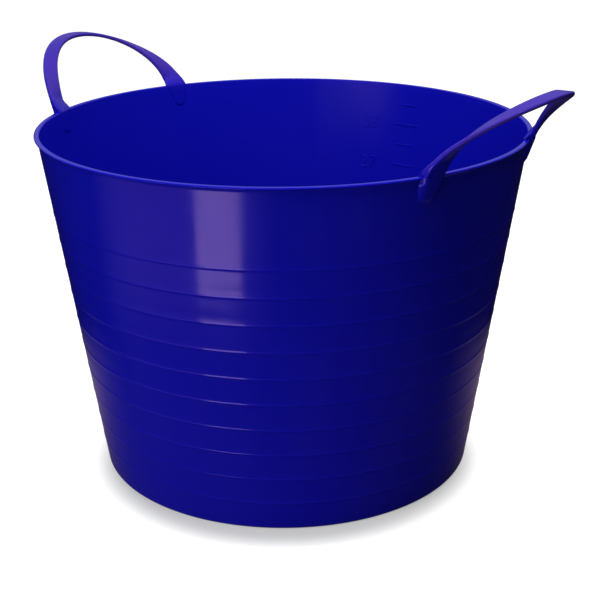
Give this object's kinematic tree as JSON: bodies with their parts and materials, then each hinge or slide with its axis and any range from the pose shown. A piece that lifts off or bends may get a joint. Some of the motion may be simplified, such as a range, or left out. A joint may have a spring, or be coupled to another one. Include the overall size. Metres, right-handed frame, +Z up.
{
  "type": "muck bucket",
  "caption": "Round tapered flexible tub with a ribbed wall, a rounded rim and opposite twisted strap handles moulded onto the rim, for carrying loose loads.",
  "frame": {"origin": "middle of the standing ring, on the surface that the tub stands on", "axes": "+Z up along the tub's axis, +X towards the handle on the right of the picture, +Y to the rear, midway between the handles"},
  "size_m": [0.5612, 0.455, 0.3833],
  "materials": {
    "tub_plastic": "glossy ultramarine-blue polyethylene with a soft sheen",
    "handle_plastic": "the same glossy ultramarine-blue polyethylene"
  },
  "bodies": {
    "tub": {"floor": "tub_plastic", "base_ring": "tub_plastic", "side_wall": "tub_plastic", "front_rim": "tub_plastic", "rear_rim": "tub_plastic", "right_rim": "tub_plastic", "left_rim": "tub_plastic", "right_front_root": "tub_plastic", "right_rear_root": "tub_plastic", "left_front_root": "tub_plastic", "left_rear_root": "tub_plastic"},
    "right_strap": {"right_handle": "handle_plastic"},
    "left_strap": {"left_handle": "handle_plastic"}
  },
  "joints": [
    {"name": "right_handle_bend", "type": "hinge", "parent": "tub", "child": "right_strap", "pos_m": [0.2175, 0, 0.333], "axis": [0, -1, 0], "range_deg": [-35, 75], "stiffness_Nm_per_rad": 1.5},
    {"name": "left_handle_bend", "type": "hinge", "parent": "tub", "child": "left_strap", "pos_m": [-0.2175, 0, 0.333], "axis": [0, 1, 0], "range_deg": [-35, 75], "stiffness_Nm_per_rad": 1.5}
  ]
}
